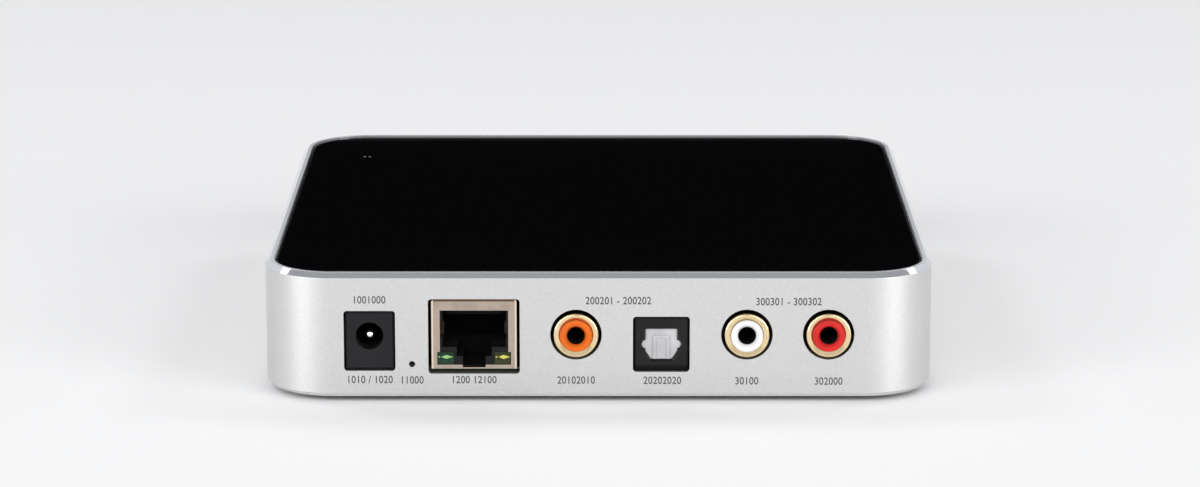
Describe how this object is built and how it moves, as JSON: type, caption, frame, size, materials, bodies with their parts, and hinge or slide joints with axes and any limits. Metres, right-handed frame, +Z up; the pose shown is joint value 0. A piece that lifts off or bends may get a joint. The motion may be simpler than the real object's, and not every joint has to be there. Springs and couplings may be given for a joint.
{
  "type": "network music streamer",
  "caption": "Square, flat network music streamer with a machined aluminium frame, a black glass top, and power, ethernet, phono and shuttered optical sockets on its rear.",
  "frame": {"origin": "on the surface it stands on, under the middle of its width and depth, sockets' lips included", "axes": "+X to the right seen from the rear with the sockets, +Y from the rear face to the front, +Z up"},
  "size_m": [0.126, 0.1304, 0.025],
  "materials": {
    "frame_aluminium": "bead-blasted and anodised, with machined bright edges",
    "top_glass": "black backed, polished",
    "gasket_foam": "black bonding foam",
    "base_plastic": "fine spark texture",
    "foot_rubber": "soft matt",
    "screw_steel": "zinc plated",
    "standoff_brass": "turned",
    "board_laminate": "dark green solder mask",
    "jack_plastic": "moulded",
    "power_plastic": "moulded",
    "gold_plate": "polished gold plating",
    "core_orange": "moulded",
    "core_white": "moulded",
    "core_red": "moulded",
    "contact_tin": "tinned",
    "pin_nickel": "nickel plated",
    "shell_nickel": "nickel-plated sheet",
    "insert_plastic": "moulded",
    "lamp_green_plastic": "clear tinted",
    "lamp_yellow_plastic": "clear tinted",
    "optical_plastic": "moulded",
    "shutter_plastic": "moulded, pale grey",
    "spring_steel": "bright strip",
    "switch_plastic": "moulded",
    "plunger_plastic": "moulded",
    "lamp_white_plastic": "resin",
    "guide_clear": "clear moulded",
    "chip_plastic": "moulded package",
    "shield_tin": "tinplate",
    "thermal_silicone": "soft pad",
    "inductor_ferrite": "sintered",
    "can_aluminium": "drawn can",
    "crystal_steel": "welded can"
  },
  "bodies": {
    "case": {"body_frame": "frame_aluminium", "rear_wall": "frame_aluminium", "top_panel": "top_glass", "panel_gasket": "gasket_foam", "base_plate": "base_plastic", "base_screws": "screw_steel", "foot_rear_left": "foot_rubber", "foot_rear_right": "foot_rubber", "foot_front_left": "foot_rubber", "foot_front_right": "foot_rubber", "board_standoffs": "standoff_brass", "board_screws": "screw_steel", "main_board": "board_laminate", "coax_jack_housing": "jack_plastic", "coax_jack_barrel": "gold_plate", "coax_jack_insulator": "core_orange", "coax_jack_contact": "contact_tin", "left_jack_housing": "jack_plastic", "left_jack_barrel": "gold_plate", "left_jack_insulator": "core_white", "left_jack_contact": "contact_tin", "right_jack_housing": "jack_plastic", "right_jack_barrel": "gold_plate", "right_jack_insulator": "core_red", "right_jack_contact": "contact_tin", "power_jack_housing": "power_plastic", "power_jack_pin": "pin_nickel", "power_jack_spring": "contact_tin", "ethernet_shell": "shell_nickel", "ethernet_insert": "insert_plastic", "ethernet_contacts": "gold_plate", "ethernet_lamp_green": "lamp_green_plastic", "ethernet_lamp_yellow": "lamp_yellow_plastic", "ethernet_transformer": "chip_plastic", "optical_housing": "optical_plastic", "optical_shutter_spring": "spring_steel", "optical_emitter": "optical_plastic", "reset_switch_case": "switch_plastic", "reset_switch_cover": "shield_tin", "reset_switch_dome": "spring_steel", "status_lights": "lamp_white_plastic", "light_guide": "guide_clear", "processor_chip": "chip_plastic", "memory_chip": "chip_plastic", "shield_walls": "shield_tin", "shield_lid": "shield_tin", "thermal_pad": "thermal_silicone", "flash_chip": "chip_plastic", "output_amplifier": "chip_plastic", "converter_chip": "chip_plastic", "regulator_chip": "chip_plastic", "power_inductors": "inductor_ferrite", "output_capacitors": "can_aluminium", "supply_capacitors": "can_aluminium", "crystals": "crystal_steel", "radio_board": "board_laminate", "radio_shield": "shield_tin", "antennas": "shield_tin"},
    "shutter": {"optical_shutter": "shutter_plastic"},
    "reset_plunger": {"reset_switch_plunger": "plunger_plastic"}
  },
  "joints": [
    {"name": "shutter_hinge", "type": "hinge", "parent": "case", "child": "shutter", "pos_m": [0.01173, -0.0619, 0.01525], "axis": [1, 0, 0], "range_deg": [0, 85], "stiffness_Nm_per_rad": 0.001, "springref_deg": -28.65, "deforming": ["optical_shutter_spring"]},
    {"name": "reset_press", "type": "slide", "parent": "case", "child": "reset_plunger", "axis": [0, 1, 0], "range_m": [0, 0.00025], "stiffness_N_per_m": 4000, "springref_m": -0.00005, "deforming": ["reset_switch_dome"]}
  ]
}
